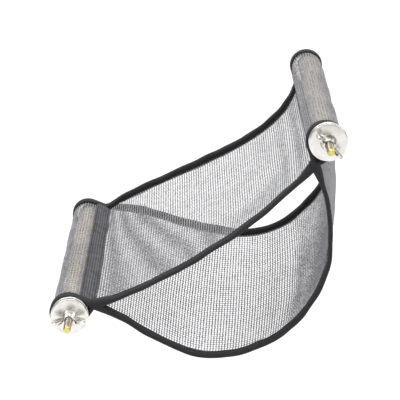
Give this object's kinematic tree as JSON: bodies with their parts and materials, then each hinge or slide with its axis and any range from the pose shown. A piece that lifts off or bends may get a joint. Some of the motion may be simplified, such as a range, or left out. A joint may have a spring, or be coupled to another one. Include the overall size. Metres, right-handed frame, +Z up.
{
  "type": "cage hammock",
  "caption": "Two-layer mesh sling hung between two wooden perches, each clamped to cage wire by large washers and a wing nut.",
  "frame": {"origin": "centre of the left clamp face: the front face of the left inner washer, on the bolt's axis", "axes": "+X level towards the right perch, +Y along the perches into the cage, +Z up; the bolts and wing nuts point to -Y, out through the cage wall"},
  "size_m": [0.2427, 0.2715, 0.1983],
  "materials": {
    "perch_wood": "sanded, unfinished",
    "bolt_steel": "yellow zinc plated thread",
    "washer_steel": "bright zinc plated, lightly brushed",
    "nut_zinc": "bright zinc plated casting",
    "mesh_cloth": "open ribbed polyester net",
    "hem_cloth": "doubled net, stitched",
    "edge_tape": "ribbed black binding tape, matt"
  },
  "bodies": {
    "left_perch": {"left_dowel": "perch_wood", "left_hanger_bolt": "bolt_steel", "left_inner_washer": "washer_steel"},
    "left_clamp_washer": {"left_outer_washer": "washer_steel"},
    "left_clamp_nut": {"left_wing_nut": "nut_zinc"},
    "sling": {"upper_sheet": "mesh_cloth", "lower_sheet": "mesh_cloth", "left_sleeve": "mesh_cloth", "right_sleeve": "mesh_cloth", "left_hem": "hem_cloth", "right_hem": "hem_cloth", "upper_front_binding": "edge_tape", "upper_back_binding": "edge_tape", "lower_front_binding": "edge_tape", "lower_back_binding": "edge_tape", "left_sleeve_front_binding": "edge_tape", "left_sleeve_back_binding": "edge_tape", "right_sleeve_front_binding": "edge_tape", "right_sleeve_back_binding": "edge_tape"},
    "right_perch": {"right_dowel": "perch_wood", "right_hanger_bolt": "bolt_steel", "right_inner_washer": "washer_steel"},
    "right_clamp_washer": {"right_outer_washer": "washer_steel"},
    "right_clamp_nut": {"right_wing_nut": "nut_zinc"}
  },
  "joints": [
    {"name": "left_nut_spin", "type": "hinge", "parent": "left_clamp_washer", "child": "left_clamp_nut", "pos_m": [0, 0, 0], "axis": [0, -1, 0], "range_deg": [-454, 4414]},
    {"name": "left_washer_slide", "type": "slide", "parent": "left_perch", "child": "left_clamp_washer", "axis": [0, -1, 0], "range_m": [-0.00125, 0.01225]},
    {"name": "sling_swing", "type": "hinge", "parent": "left_perch", "child": "sling", "pos_m": [0, 0, 0], "axis": [0, -1, 0], "range_deg": [-35, 25]},
    {"name": "right_perch_pull", "type": "slide", "parent": "sling", "child": "right_perch", "axis": [0, -1, 0], "range_m": [0, 0.25]},
    {"name": "right_nut_spin", "type": "hinge", "parent": "right_clamp_washer", "child": "right_clamp_nut", "pos_m": [0.201, 0, 0.144], "axis": [0, -1, 0], "range_deg": [-454, 4414]},
    {"name": "right_washer_slide", "type": "slide", "parent": "right_perch", "child": "right_clamp_washer", "axis": [0, -1, 0], "range_m": [-0.00125, 0.01225]}
  ],
  "couplings": [
    {"joint": "left_nut_spin", "follows": "left_washer_slide", "rad_per_m": 6283.2},
    {"joint": "right_nut_spin", "follows": "right_washer_slide", "rad_per_m": 6283.2}
  ]
}
